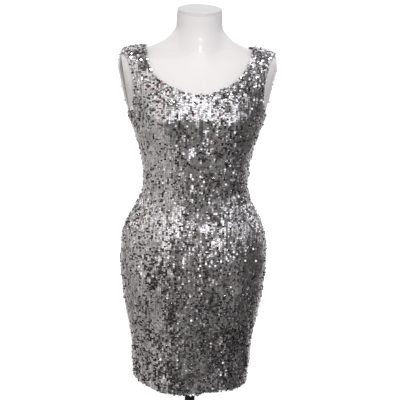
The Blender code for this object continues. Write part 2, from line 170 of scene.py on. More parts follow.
def black_powder_coat():
    material, tree, shader = new_finish("black powder coat")
    coat = use_effect(tree, uneven_coat, Cloud_Size=0.06, From=0.34, To=0.52, Grain_Size=0.0009)
    dust = use_effect(tree, uneven_coat, Cloud_Size=0.03, From=0.0, To=0.35, Grain_Size=0.0004)
    normal = add_node(tree, "NewGeometry").outputs["Normal"]
    up = add_node(tree, "SeparateXYZ", Vector=normal)
    lying = calculate(tree, "MULTIPLY", up.outputs["Z"], dust.outputs["Value"])
    lying.node.use_clamp = True
    color = blend_colors(tree, lying, (0.012, 0.012, 0.013), (0.050, 0.048, 0.046))
    set_inputs(tree, shader, Base_Color=color, Roughness=coat.outputs["Value"])
    raise_surface(tree, shader, coat.outputs["Grain"], 0.25, 0.0002)
    return material


def smooth_piece(name, shape):
    """An object with a finished shape as its mesh."""
    mesh = bpy.data.meshes.new(name)
    shape.to_mesh(mesh)
    shape.free()
    mesh.shade_smooth()
    return bpy.data.objects.new(name, mesh)


def turned_piece(name, profile, sides, edge):
    """A solid turned about the Z axis from (radius, height) points, with its edges eased."""
    shape = bmesh.new()
    line = [shape.verts.new((radius, 0.0, height)) for radius, height in profile]
    edges = [shape.edges.new(ends) for ends in zip(line, line[1:])]
    bmesh.ops.spin(shape, geom=line + edges, axis=(0, 0, 1), cent=(0, 0, 0), angle=math.tau,
                   steps=sides, use_merge=True)
    bmesh.ops.remove_doubles(shape, verts=shape.verts, dist=0.000001)
    bmesh.ops.recalc_face_normals(shape, faces=shape.faces)
    piece = smooth_piece(name, shape)
    ease = piece.modifiers.new("eased edges", "BEVEL")
    ease.width = edge
    ease.segments = 3
    ease.angle_limit = math.radians(30)
    ease.harden_normals = True
    return piece


def put_in_place(piece, material, slot, *nodes):
    """Shows a finished piece on the part's one body, in place of the solids it stands for."""
    piece.data.materials.append(material)
    bpy.context.scene.collection.objects.link(piece)
    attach(piece, "root")
    if nodes:
        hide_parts(*nodes)
    return piece


uneven_coat = build_uneven_coat()
powder_coat = black_powder_coat()
base_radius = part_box("stand_base")[1].x
hub_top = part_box("stand_base")[1].z
base = turned_piece("stand_base_turned", [
    (0.0, PLATE_THICK),
    (BORE_RADIUS, PLATE_THICK),
    (BORE_RADIUS, hub_top),
    (HUB_RADIUS, hub_top),
    (HUB_RADIUS, PLATE_THICK + DISH + HUB_FILLET),
    (HUB_RADIUS + HUB_FILLET, PLATE_THICK + DISH),
    (base_radius, PLATE_THICK),
    (base_radius, 0.0),
    (0.0, 0.0),
], BASE_SIDES, BASE_EDGE)
put_in_place(base, powder_coat, "stand_metal", "stand_base")

# ------------------------------
# The pole and the flange. A steel tube stands in the hub, and a round plate with a socket
# sits on its upper end under the form. Both have the base's black coat.
# ------------------------------
FLANGE_THICK = 0.006
SOCKET_RADIUS = 0.0185
STEEL_SIDES = 64
POLE_EDGE = 0.0005
FLANGE_EDGE = 0.0008

pole_low, pole_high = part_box("stand_pole")
pole = turned_piece("stand_pole_tube", [
    (0.0, pole_high.z),
    (POLE_RADIUS, pole_high.z),
    (POLE_RADIUS, pole_low.z),
    (0.0, pole_low.z),
], STEEL_SIDES, POLE_EDGE)
put_in_place(pole, powder_coat, "stand_metal", "stand_pole")

flange_low, flange_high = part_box("pole_flange")
plate_low = flange_high.z - FLANGE_THICK
flange = turned_piece("pole_flange_turned", [
    (0.0, flange_high.z),
    (flange_high.x, flange_high.z),
    (flange_high.x, plate_low),
    (SOCKET_RADIUS, plate_low),
    (SOCKET_RADIUS, flange_low.z),
    (BORE_RADIUS, flange_low.z),
    (BORE_RADIUS, plate_low),
    (0.0, plate_low),
], STEEL_SIDES, FLANGE_EDGE)
put_in_place(flange, powder_coat, "stand_metal", "pole_flange")

# ------------------------------
# The form. Torso and neck are one blown shell of white gloss plastic, with a slanted flat
# where each arm would start. It carries the dress, and shows at the neck and in the armholes.
# ------------------------------
FORM_BOTTOM = 0.112
FORM_EDGE = 0.003
NECK_TOP = 0.9135
NECK_SLOPE = 8.0
NECK_START = 0.840
NECK_RADIUS = 0.0520
CAP_THICK = 0.008
SEAM_GAP = 0.0003
ROUNDNESS = 2.2
NECK_BLEND = 8.0
ARM_CUT_LOW = (0.1590, 0.672)
ARM_CUT_HIGH = (0.1800, 0.795)
HEM_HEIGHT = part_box("form_torso")[0].z - FORM_BOTTOM
TORSO_COLUMNS = 192
RING_RUNS = ((0.122, 0.655, 0.008), (0.660, 0.795, 0.0025), (0.796, 0.826, 0.0007))
NECK_RINGS_START = 0.827
NECK_RING_STEP = 0.0022
CREASE_ANGLE = 32.0


def table(columns, *rows):
    """Rows of numbers under named columns."""
    row = namedtuple("Row", columns)
    return [row(*numbers) for numbers in rows]


SECTIONS = table(
    "height half_width front back neck",
    (-0.010, 0.1335, 0.0895, 0.0900, 0.000),
    (0.030, 0.1365, 0.0915, 0.0925, 0.000),
    (0.075, 0.1405, 0.0935, 0.0955, 0.000),
    (0.115, 0.1425, 0.0955, 0.0990, 0.000),
    (0.190, 0.1575, 0.1020, 0.1100, 0.000),
    (0.250, 0.1665, 0.1060, 0.1180, 0.000),
    (0.310, 0.1710, 0.1070, 0.1215, 0.000),
    (0.360, 0.1690, 0.1035, 0.1190, 0.000),
    (0.395, 0.1620, 0.0985, 0.1120, 0.000),
    (0.430, 0.1450, 0.0920, 0.1020, 0.000),
    (0.460, 0.1292, 0.0900, 0.0940, 0.000),
    (0.500, 0.1193, 0.0888, 0.0865, 0.000),
    (0.540, 0.1198, 0.0885, 0.0830, 0.000),
    (0.580, 0.1295, 0.0930, 0.0855, 0.000),
    (0.620, 0.1418, 0.1005, 0.0905, 0.000),
    (0.660, 0.1550, 0.1095, 0.0960, 0.000),
    (0.690, 0.1630, 0.1065, 0.0985, 0.010),
    (0.720, 0.1715, 0.0980, 0.1000, 0.030),
    (0.750, 0.1810, 0.0875, 0.0980, 0.050),
    (0.775, 0.1865, 0.0765, 0.0915, 0.062),
    (0.790, 0.1865, 0.0680, 0.0840, 0.066),
    (0.800, 0.1815, 0.0610, 0.0760, 0.066),
    (0.807, 0.1710, 0.0545, 0.0675, 0.065),
    (0.8125, 0.1550, 0.0490, 0.0600, 0.064),
    (0.8165, 0.1370, 0.0445, 0.0540, 0.063),
    (0.8215, 0.1175, 0.0403, 0.0475, 0.062),
    (0.830, 0.0970, 0.0380, 0.0430, 0.060),
    (0.840, 0.0780, 0.0360, 0.0400, 0.058),
    (0.855, 0.0600, 0.0330, 0.0360, 0.055),
    (0.875, 0.0400, 0.0280, 0.0300, 0.053),
    (0.930, 0.0300, 0.0200, 0.0200, 0.052),
)

BUST, = table("height angle half_height half_angle depth", (0.654, 37.0, 0.052, 24.0, 0.0125))


def smooth(rows, at, column):
    """A column's values at places in the first one, on a curve that stays between its rows."""
    places = np.array([row[0] for row in rows], float)
    values = np.array([getattr(row, column) for row in rows], float)
    steps = np.diff(places)
    slopes = np.diff(values) / steps
    near = 2 * steps[1:] + steps[:-1]
    far = steps[1:] + 2 * steps[:-1]
    turns = slopes[:-1] * slopes[1:] <= 0
    before = np.where(turns, 1.0, slopes[:-1])
    after = np.where(turns, 1.0, slopes[1:])
    inner = np.where(turns, 0.0, (near + far) / (near / before + far / after))
    tangents = np.concatenate(([slopes[0]], inner, [slopes[-1]]))
    at = np.clip(at, places[0], places[-1])
    left = np.clip(np.searchsorted(places, at) - 1, 0, len(steps) - 1)
    step = steps[left]
    t = (at - places[left]) / step
    return ((2 * t ** 3 - 3 * t ** 2 + 1) * values[left]
            + (t ** 3 - 2 * t ** 2 + t) * step * tangents[left]
            + (3 * t ** 2 - 2 * t ** 3) * values[left + 1]
            + (t ** 3 - t ** 2) * step * tangents[left + 1])


def bell(distance, half):
    """A soft hump, 1 in the middle."""
    return np.exp(-2.0 * (distance / half) ** 2)


def wrap(degrees):
    return (degrees + 180.0) % 360.0 - 180.0


def body_radius(angle, height):
    """Distance from the body's axis to the form's surface."""
    across = np.abs(np.sin(np.radians(angle)))
    along = np.cos(np.radians(angle))
    half_width = smooth(SECTIONS, height, "half_width")
    depths = [smooth(SECTIONS, height, column) for column in ("front", "back")]
    depth = np.where(along > 0, *depths)
    neck = smooth(SECTIONS, height, "neck")
    body = (across / half_width) ** ROUNDNESS + (np.abs(along) / depth) ** ROUNDNESS
    joined = (body ** (-NECK_BLEND / ROUNDNESS) + neck ** NECK_BLEND) ** (1 / NECK_BLEND)
    upward = bell(height - BUST.height, BUST.half_height)
    sideways = bell(np.abs(wrap(angle)) - BUST.angle, BUST.half_angle)
    return joined + BUST.depth * upward * sideways


def body_points(angle, height):
    radius = body_radius(angle, height)
    turn = np.radians(angle)
    level = HEM_HEIGHT + height + 0 * turn
    return np.stack((radius * np.sin(turn), -radius * np.cos(turn), level), -1)


def unit(vectors):
    length = np.linalg.norm(vectors, axis=-1, keepdims=True)
    return vectors / np.maximum(length, 1e-12)


def tube_faces(rings, columns):
    """Four-sided faces between closed rings of points, and a face over each end."""
    faces = []
    for ring in range(rings - 1):
        for i in range(columns):
            j = (i + 1) % columns
            low, high = ring * columns, (ring + 1) * columns
            faces.append((low + i, low + j, high + j, high + i))
    faces.append(tuple(reversed(range(columns))))
    faces.append(tuple(range((rings - 1) * columns, rings * columns)))
    return faces


def arm_block(side):
    """A block whose inner face is the slanted flat of one arm."""
    size = 0.30
    low = np.array((side * ARM_CUT_LOW[0], 0.0, HEM_HEIGHT + ARM_CUT_LOW[1]))
    high = np.array((side * ARM_CUT_HIGH[0], 0.0, HEM_HEIGHT + ARM_CUT_HIGH[1]))
    lean = math.atan2(high[0] - low[0], high[2] - low[2])
    bpy.ops.mesh.primitive_cube_add(size=size)
    block = bpy.context.object
    block.rotation_euler = (0.0, lean, 0.0)
    outward = np.array((side * math.cos(lean), 0.0, -side * math.sin(lean)))
    block.location = (low + high) / 2 + outward * size / 2
    return block


def cut_arms(torso):
    """Cuts both flats and keeps the result as the torso's own mesh."""
    blocks = [arm_block(side) for side in (-1, 1)]
    for block in blocks:
        cut = torso.modifiers.new("arm cut", "BOOLEAN")
        cut.operation = "DIFFERENCE"
        cut.object = block
    bpy.context.view_layer.update()
    seen = torso.evaluated_get(bpy.context.evaluated_depsgraph_get())
    mesh = bpy.data.meshes.new_from_object(seen)
    torso.modifiers.clear()
    torso.data = mesh
    for block in blocks:
        bpy.data.objects.remove(block)
    mesh.shade_smooth()
    mesh.set_sharp_from_angle(angle=math.radians(CREASE_ANGLE))


def white_plastic(name, dullest, coat, specular):
    """Slightly yellowed white plastic, glossy or satin by its dullest roughness and its coat."""
    material, tree, shader = new_finish(name)
    gloss = use_effect(tree, uneven_coat, Cloud_Size=0.09, From=dullest - 0.12, To=dullest,
                       Grain_Size=0.0035)
    age = use_effect(tree, uneven_coat, Cloud_Size=0.22, From=0.0, To=1.0, Grain_Size=0.01)
    color = blend_colors(tree, age.outputs["Value"], (0.825, 0.803, 0.790), (0.850, 0.828, 0.815))
    set_inputs(tree, shader, Base_Color=color, Roughness=gloss.outputs["Value"],
               Coat_Weight=coat, Coat_Roughness=0.10, Specular_IOR_Level=specular)
    raise_surface(tree, shader, gloss.outputs["Grain"], 0.06, 0.0004)
    return material


neck_end = NECK_TOP - CAP_THICK - SEAM_GAP
ring_heights = np.concatenate((
    [FORM_BOTTOM, FORM_BOTTOM + FORM_EDGE * 0.4, FORM_BOTTOM + FORM_EDGE],
    *(np.arange(*run) for run in RING_RUNS),
    np.arange(NECK_RINGS_START, neck_end - 0.001, NECK_RING_STEP),
    [neck_end],
))
edge_inset = {0: FORM_EDGE, 1: FORM_EDGE * 0.3}
round_angles = np.arange(TORSO_COLUMNS) * 360.0 / TORSO_COLUMNS
neck_tilt = math.tan(math.radians(NECK_SLOPE)) * np.cos(np.radians(round_angles))
torso_rings = []
for i, ring_height in enumerate(ring_heights):
    above = max(ring_height - NECK_START, 0.0) / (neck_end - NECK_START)
    ring = body_points(round_angles, ring_height - NECK_RADIUS * neck_tilt * above)
    reach = np.linalg.norm(ring[:, :2], axis=1, keepdims=True)
    ring[:, :2] *= 1 - edge_inset.get(i, 0.0) / reach
    torso_rings.append(ring)
torso_faces = tube_faces(len(ring_heights), TORSO_COLUMNS)
torso_mesh = bpy.data.meshes.new("form_torso_shell")
torso_mesh.from_pydata(np.concatenate(torso_rings), [], torso_faces)
torso_mesh.shade_smooth()
torso = bpy.data.objects.new("form_torso_shell", torso_mesh)
gloss_white = white_plastic("white gloss plastic", dullest=0.42, coat=0.25, specular=0.2)
put_in_place(torso, gloss_white, "form_white", "form_torso")
cut_arms(torso)

# ------------------------------
# The neck cap. A disc of white plastic with a rounded rim closes the neck. It slopes down to
# the front as the cut neck does, hides the joint with its rim, and is duller than the form.
# ------------------------------
CAP_RADIUS = 0.0515
CAP_ROUND = 0.0035
CAP_DISH = 0.0004
CAP_DISH_SHARES = (0.86, 0.88)
CAP_SIDES = 96
CAP_EDGE = 0.0003

cap = turned_piece("neck_cap_disc", [
    (0.0, -CAP_DISH),
    (CAP_RADIUS * CAP_DISH_SHARES[0], -CAP_DISH),
    (CAP_RADIUS * CAP_DISH_SHARES[1], 0.0),
    (CAP_RADIUS - CAP_ROUND, 0.0),
    *[(CAP_RADIUS - CAP_ROUND * (1 - math.sin(turn)), -CAP_ROUND * (1 - math.cos(turn)))
      for turn in np.radians((15, 30, 45, 60, 75, 90))],
    (CAP_RADIUS, -CAP_THICK),
    (0.0, -CAP_THICK),
], CAP_SIDES, CAP_EDGE)
cap.location = (0.0, 0.0, HEM_HEIGHT + NECK_TOP)
cap.rotation_euler = (math.radians(NECK_SLOPE), 0.0, 0.0)
satin_white = white_plastic("white satin plastic", dullest=0.60, coat=0.0, specular=0.25)
put_in_place(cap, satin_white, "form_white", "neck_cap")

# ------------------------------
# The cloth. Front and back are each one piece of stretch mesh with half of both straps, sewn
# at the sides and shoulders. The mesh is grey, and its colour is darkened as painted shade
# where it shows between and under the sequins. It is pulled on over the form, and creases at the
# waist.
# ------------------------------
GROUND_CLOTH = 0.0009
CLOTH_OFFSET = 0.0001
UNDERARM = 0.668
FRONT_NECK = 0.7215
BACK_NECK = 0.738
NECK_HALF = 0.1215
NECK_SHIFT = 0.004
SHOULDER_HALF = 0.1755
NECK_SQUARE = 2.30
NECK_DEEP = 2.0
NECK_FLARE = 0.003
NECK_FLARE_RISE = 12
RIDGE_HEIGHTS = (0.785, 0.900)
SNUG = 0.0012
ARMHOLE_EASE = 0.0018
ARMHOLE_EASE_RISE = (0.600, 0.660)
ARMHOLE_EASE_TURN = 70.0
GAPE = 0.0045
GAPE_RISE = (0.672, 0.700)
GAPE_FALL = (0.725, 0.785)
GAPE_ANGLE = 99.0
GAPE_TURN = 7.0
STRAP_EASE = 0.0042
STRAP_TOP = 0.809
STRAP_SPREAD = 0.0125
WAIST_EASE = 0.0022
WAIST = 0.535
WAIST_SPREAD = 0.070
HEM_FADE = 0.130
HALF_COLUMNS = 36
SKIRT_ROWS = 96
YOKE_ROWS = 10
YOKE_CROWDING = 1.4
STRAP_ROWS = 32

ARMHOLES = table(
    "height front_angle back_angle",
    (0.668, 90.0, 90.0),
    (0.672, 80.0, 94.0),
    (0.680, 74.5, 96.3),
    (0.692, 70.5, 98.0),
    (0.716, 68.4, 99.1),
    (0.738, 67.5, 99.4),
)

STRAP_EDGES = table(
    "rise front back",
    (0.00, 0.1466, 0.1720),
    (0.20, 0.1474, 0.1758),
    (0.40, 0.1502, 0.1798),
    (0.60, 0.1545, 0.1820),
    (0.80, 0.1595, 0.1818),
    (0.93, 0.1660, 0.1782),
    (1.00, SHOULDER_HALF, SHOULDER_HALF),
)

HEM = table(
    "angle raise_by",
    (-180, 0.006),
    (-130, 0.014),
    (-90, 0.026),
    (-60, 0.012),
    (-35, 0.000),
    (-10, 0.000),
    (9, 0.000),
    (18, 0.006),
    (50, 0.005),
    (90, 0.011),
    (130, 0.004),
    (180, 0.006),
)

FOLDS = table(
    "height angle half_height half_angle lift tilt",
    (0.618, 52, 0.014, 24, -0.0016, -0.0021),
    (0.600, -58, 0.013, 20, -0.0012, 0.0018),
    (0.566, 74, 0.008, 26, 0.0018, -0.0004),
    (0.549, 60, 0.007, 22, -0.0016, -0.0002),
    (0.528, 82, 0.008, 24, 0.0015, 0.0002),
    (0.560, -70, 0.008, 22, 0.0016, 0.0004),
    (0.540, -84, 0.007, 24, -0.0015, 0.0001),
    (0.515, -62, 0.009, 26, 0.0014, -0.0003),
    (0.552, 150, 0.009, 24, 0.0018, 0.0003),
    (0.530, -155, 0.008, 26, -0.0016, 0.0002),
    (0.508, 170, 0.009, 30, 0.0018, -0.0001),
    (0.560, -130, 0.009, 20, 0.0014, 0.0004),
    (0.405, -64, 0.020, 22, 0.0012, 0.0010),
    (0.372, 66, 0.022, 20, 0.0012, -0.0010),
    (0.060, 40, 0.070, 9, 0.0018, 0.0),
    (0.060, -28, 0.080, 10, 0.0016, 0.0),
    (0.070, 145, 0.080, 11, 0.0018, 0.0),
    (0.060, -150, 0.070, 10, 0.0016, 0.0),
)


def share_between(value, ends):
    low, high = ends
    return np.clip((value - low) / (high - low), 0.0, 1.0)


def ease(angle, height):
    """Distance from the form to the inside of the cloth, with its soft ridges and troughs."""
    beside = bell(np.abs(wrap(angle)) - 90.0, ARMHOLE_EASE_TURN)
    loose = SNUG + ARMHOLE_EASE * beside * share_between(height, ARMHOLE_EASE_RISE)
    at_edge = bell(np.abs(wrap(angle)) - GAPE_ANGLE, GAPE_TURN)
    stands_off = share_between(height, GAPE_RISE) * (1 - share_between(height, GAPE_FALL))
    loose = loose + GAPE * at_edge * stands_off
    loose = loose + STRAP_EASE * bell(height - STRAP_TOP, STRAP_SPREAD)
    loose = loose + WAIST_EASE * bell(height - WAIST, WAIST_SPREAD)
    for fold in FOLDS:
        turn = wrap(angle - fold.angle)
        rise = height - fold.height - fold.tilt * turn
        loose = loose + fold.lift * bell(rise, fold.half_height) * bell(turn, fold.half_angle)
    return np.where(height > FORM_BOTTOM, np.maximum(loose, SNUG), loose)


def outward_from(surface, angle, height):
    """Directions straight out of a surface, given as a function of angle and height."""
    around = surface(angle + 0.5, height) - surface(angle - 0.5, height)
    upward = surface(angle, height + 0.0005) - surface(angle, height - 0.0005)
    return unit(np.cross(around, upward))


def cloth_points(angle, height, offset=0.0):
    """Points on the inside of the cloth, or moved out from it by an offset."""
    reach = (ease(angle, height) + offset)[..., None]
    return body_points(angle, height) + outward_from(body_points, angle, height) * reach


def halve(low, high, below):
    """The place between two arrays of ends where a test stops being true."""
    for _ in range(40):
        middle = (low + high) / 2
        under = below(middle)
        low, high = np.where(under, middle, low), np.where(under, high, middle)
    return (low + high) / 2


def from_centre(angle, behind):
    """Turns angles from the centre front into angles from the panel's own centre, and back."""
    return 180.0 - angle if behind else angle


def angle_at(half_width, height, behind):
    """Angle where the section is that far from the centre, on the front or behind."""
    def inside(turn):
        angle = from_centre(turn, behind)
        return body_radius(angle, height) * np.sin(np.radians(angle)) < half_width
    turn = halve(np.zeros_like(half_width), np.full_like(half_width, 90.0), inside)
    return from_centre(turn, behind)


def ridge_height(half_width):
    """Height of the shoulder's ridge at a distance from the centre."""
    ends = [np.full_like(half_width, height) for height in RIDGE_HEIGHTS]
    return halve(*ends, lambda height: body_radius(90.0, height) > half_width)


def strap_place(side, behind, rise, share):
    """Angle and height on the strap: rise goes up it, and share goes out from the neckline."""
    rise, share = np.broadcast_arrays(rise, share)
    neck_bottom = BACK_NECK if behind else FRONT_NECK
    inner = NECK_HALF * (1 - (1 - rise) ** NECK_DEEP) ** (1 / NECK_SQUARE)
    # The factor lets the shift be full at its top, a third of the way up.
    hang = NECK_SHIFT * 6.75 * rise * (1 - rise) ** 2
    inner = inner - side * hang + NECK_FLARE * rise ** NECK_FLARE_RISE
    outer = smooth(STRAP_EDGES, rise, "back" if behind else "front")
    half_width = inner + (outer - inner) * share
    height = neck_bottom + (ridge_height(half_width) - neck_bottom) * rise
    return np.where(rise >= 1.0, 90.0, angle_at(half_width, height, behind)), height


def edge_angle(behind, height):
    """Angle where the panel ends: the side seam, and above it the armhole."""
    at_armhole = smooth(ARMHOLES, height, "back_angle" if behind else "front_angle")
    return np.where(height < UNDERARM, 90.0, at_armhole)


def with_hem(angle, height):
    """Height after the uneven hem is let in."""
    fade = np.clip(1 - height / HEM_FADE, 0.0, 1.0) ** 2
    return height + smooth(HEM, wrap(angle), "raise_by") * fade


def keep_apart(points, behind):
    """Holds front and back apart by the seam's gap."""
    limits = (SEAM_GAP / 2, None) if behind else (None, -SEAM_GAP / 2)
    points[..., 1] = np.clip(points[..., 1], *limits)
    return points


def strap_rises(levels):
    """Places up a strap, closer together near its two ends."""
    return np.sin(np.pi / 2 * np.linspace(0.0, 1.0, levels)) ** 2


def panel_points(side, behind, offset):
    """A grid of points over one half of a panel, from the hem up and from its centre out."""
    neck_bottom = BACK_NECK if behind else FRONT_NECK
    share = np.linspace(0.0, 1.0, HALF_COLUMNS + 1)[None, :]
    skirt = np.arange(SKIRT_ROWS) * UNDERARM / SKIRT_ROWS
    yoke = UNDERARM + (neck_bottom - UNDERARM) * (np.arange(YOKE_ROWS) / YOKE_ROWS) ** YOKE_CROWDING
    low = np.concatenate((skirt, yoke))[:, None]
    edge = edge_angle(behind, low)
    angle = from_centre(from_centre(edge, behind) * share, behind)
    height = with_hem(side * angle, low)
    rise = strap_rises(STRAP_ROWS + 1)[:, None]
    strap_angle, strap_height = strap_place(side, behind, rise, share)
    angle = np.concatenate((angle, strap_angle))
    height = np.concatenate((height, strap_height))
    return keep_apart(cloth_points(side * angle, height, offset), behind)


def run_lengths(points, axis):
    """How far each point lies along its own line of a grid."""
    first = np.take(points, [0], axis)
    return np.linalg.norm(np.diff(points, axis=axis, prepend=first), axis=-1).cumsum(axis)


def sheet_piece(name, grids, thickness, outward):
    """A thin shell over grids of points, with a map of its threads in metres."""
    shape = bmesh.new()
    threads = shape.loops.layers.uv.new("threads")
    for grid in grids:
        across = run_lengths(grid, 1)
        along = run_lengths(grid, 0)
        rows = [[shape.verts.new(point) for point in row] for row in grid]
        for i in range(len(rows) - 1):
            for j in range(len(rows[0]) - 1):
                corners = ((i, j), (i, j + 1), (i + 1, j + 1), (i + 1, j))
                face = shape.faces.new([rows[a][b] for a, b in corners])
                for loop, (a, b) in zip(face.loops, corners):
                    loop[threads].uv = (across[a, b], along[a, b])
    bmesh.ops.remove_doubles(shape, verts=shape.verts, dist=0.00001)
    bmesh.ops.recalc_face_normals(shape, faces=shape.faces)
    if sum(f.normal.xy.dot(f.calc_center_median().xy) for f in shape.faces) < 0:
        bmesh.ops.reverse_faces(shape, faces=shape.faces)
    piece = smooth_piece(name, shape)
    wall = piece.modifiers.new("wall", "SOLIDIFY")
    wall.thickness = thickness
    wall.offset = 1.0 if outward else -1.0
    wall.use_even_offset = True
    return piece


def build_knit():
    """Rows of small loops: a height, and a mask that is 1 on the yarn and 0 in the holes, where
    painted shade goes.
    """
    effect, given, result = new_effect(
        "knit", [("Wale", 0.0010), ("Course", 0.0008)],
        [("Height", "NodeSocketFloat"), ("Yarn", "NodeSocketFloat")])
    threads = add_node(effect, "UVMap", {"uv_map": "threads"}).outputs["UV"]
    split = add_node(effect, "SeparateXYZ", Vector=threads)
    waves = []
    for axis, spacing in (("X", "Wale"), ("Y", "Course")):
        count = calculate(effect, "DIVIDE", split.outputs[axis], given.outputs[spacing])
        waves.append(calculate(effect, "SINE", calculate(effect, "MULTIPLY", count, math.tau)))
    both = calculate(effect, "MULTIPLY", *waves)
    for title, low, high in (("Height", -1.0, 1.0), ("Yarn", -0.7, -0.1)):
        level = add_node(effect, "MapRange", Value=both, From_Min=low, From_Max=high,
                         To_Min=0.0, To_Max=1.0)
        effect.links.new(level.outputs["Result"], result.inputs[title])
    return effect


def knitted_cloth(name, yarn_color, hole_shade_color, wale, course, roughness, sheen):
    material, tree, shader = new_finish(name)
    loops = use_effect(tree, knit, Wale=wale, Course=course)
    fade = use_effect(tree, uneven_coat, Cloud_Size=0.05, From=0.82, To=1.0, Grain_Size=0.001)
    mask = calculate(tree, "MULTIPLY", loops.outputs["Yarn"], fade.outputs["Value"])
    # The holes between the loops take a darker colour: painted shade seen through the knit.
    color = blend_colors(tree, mask, hole_shade_color, yarn_color)
    set_inputs(tree, shader, Base_Color=color, Roughness=roughness, Sheen_Weight=sheen,
               Sheen_Roughness=0.4)
    raise_surface(tree, shader, loops.outputs["Height"], 0.5, 0.0002)
    return material


knit = build_knit()
# The yarn and hole colours are darker than the grey mesh's own, as painted shade where it shows
# between the sequins.
grey_mesh_with_painted_shade = knitted_cloth("grey stretch mesh, darkened as painted shade", (0.17, 0.165, 0.165), (0.07, 0.07, 0.07),
                             wale=0.0009, course=0.0008, roughness=0.55, sheen=0.3)
halves = [panel_points(side, False, CLOTH_OFFSET) for side in (-1, 1)]
front = sheet_piece("dress_front_cloth", halves, GROUND_CLOTH, outward=True)
put_in_place(front, grey_mesh_with_painted_shade, "sequined_cloth", "dress_front")
halves = [panel_points(side, True, CLOTH_OFFSET) for side in (-1, 1)]
back = sheet_piece("dress_back_cloth", halves, GROUND_CLOTH, outward=True)
put_in_place(back, grey_mesh_with_painted_shade, "sequined_cloth", "dress_back")

# ------------------------------
# The armhole linings. A strip of pale grey knit is stitched inside the back edge of each
# armhole and rolled over it, and shows where that edge stands off the form.
# ------------------------------
LINING_CLOTH = 0.0008
LINING_REACH = (0.0005, 0.016)
LINING_LINES = 9
ROLL_REACH = (0.0042, 0.0030, 0.0018, 0.0006)
ROLL_LIFT = 0.0009
ROLL_ROUND = 0.0011


def points_at(line, distances):
    """The points of a line at distances from its start."""
    gone = run_lengths(line, 0)
    return np.stack([np.interp(distances, gone, line[:, axis]) for axis in range(3)], -1)


def along_rows(grid, distances):
    """Points at distances in from the outer end of each row of a grid."""
    return np.array([points_at(row, distances) for row in grid[:, ::-1]])


lining_cloth = knitted_cloth("pale grey lining", (0.88, 0.85, 0.83), (0.72, 0.69, 0.67),
                             wale=0.0007, course=0.0006, roughness=0.6, sheen=0.5)
linings = []
for side, name in ((-1, "left"), (1, "right")):
    inside = panel_points(side, True, -SEAM_GAP)[SKIRT_ROWS:]
    outside = panel_points(side, True, GROUND_CLOTH + ROLL_LIFT)[SKIRT_ROWS:]
    forward = unit(outside[:, -1:] - outside[:, -2:-1]) * ROLL_ROUND
    turn = (inside[:, -1:] + outside[:, -1:]) / 2 + forward
    strip = np.concatenate((
        along_rows(outside, ROLL_REACH),
        outside[:, -1:] + 0.6 * forward,
        turn,
        inside[:, -1:] + 0.6 * forward,
        along_rows(inside, np.linspace(*LINING_REACH, LINING_LINES))), axis=1)
    lining = sheet_piece(f"armhole_lining_{name}_cloth", [strip], LINING_CLOTH, outward=False)
    linings.append(put_in_place(lining, lining_cloth, "lining", f"armhole_lining_{name}"))

# ------------------------------
# The sequins. Round silver film sequins of 5 mm are sewn on in vertical rows, each one lapped
# over the next below like shingles. Most lie nearly flat and hang straight, handling has
# turned others over the thread, and a few short runs are bare.
# ------------------------------
SEQUIN_RADIUS = 0.0026
SEQUIN_SIDES = 8
SEQUIN_CUP = 0.00010
SEQUIN_FILM = 0.00015
ROW_SPACING = 0.0044
SEQUIN_STEP = 0.0041
LIFT = (0.0007, 0.0015)
LAP_TILT = 0.06
HANG = (0.40, 0.90)
HANG_HEIGHTS = (0.35, 0.55)
TILT = 0.070
TILT_HOLD = 0.5
TILT_LIMIT = 0.9
TURNED = 0.30
TURNED_LIMITS = (0.05, 0.75)
TURNED_DOWN = (-0.68, -0.20)
TURNED_UP = (0.06, 0.26)
DOWN_SHARE = 0.58
TURNED_SWAY = 0.38
TURNED_RUN = 0.34
TURNED_HOLD = 0.6
TURNED_LIFT = (0.0035, 0.0020)
EDGE_TILT = 1.3
MISSING = 0.02
JITTER = 0.0004
EDGE_MARGIN = 0.0003
EDGE_BAND = 0.005
EDGE_STEP = 0.0036
LOOSE_STEP = 0.0110
EDGE_REACH = 0.0008
LOOSE_REACH = 0.0018
EDGE_TURNED = 0.26
LEVEL_STEP = 0.002
BODY_MIDDLE = (0.6, 0.0, 1.0)
BODY_MIDDLE_DROP = 0.05
BODY_MIDDLE_TOP = 0.70
FRONT_SPREAD = 96.0
BACK_SPREAD = 102.0
SPREAD_STEPS = 260
STRAP_LEVELS = 110
STRAP_STEPS = 90
EDGE_LEVELS = 160
HEM_STEPS = 200
YOKE_STEPS = 60
NECKLINE_END = 0.96

BARE_RUNS = table(
    "behind side column low high",
    (False, 1, 1, 0.616, 0.665),
    (False, -1, 6, 0.604, 0.636),
    (False, -1, 16, 0.652, 0.667),
    (False, 1, 5, 0.656, 0.667),
    (False, 1, 7, 0.053, 0.115),
    (False, -1, 9, 0.300, 0.335),
    (True, -1, 4, 0.560, 0.610),
    (True, 1, 8, 0.400, 0.440),
    (True, 1, 3, 0.090, 0.150),
    (True, -1, 14, 0.250, 0.290),
)

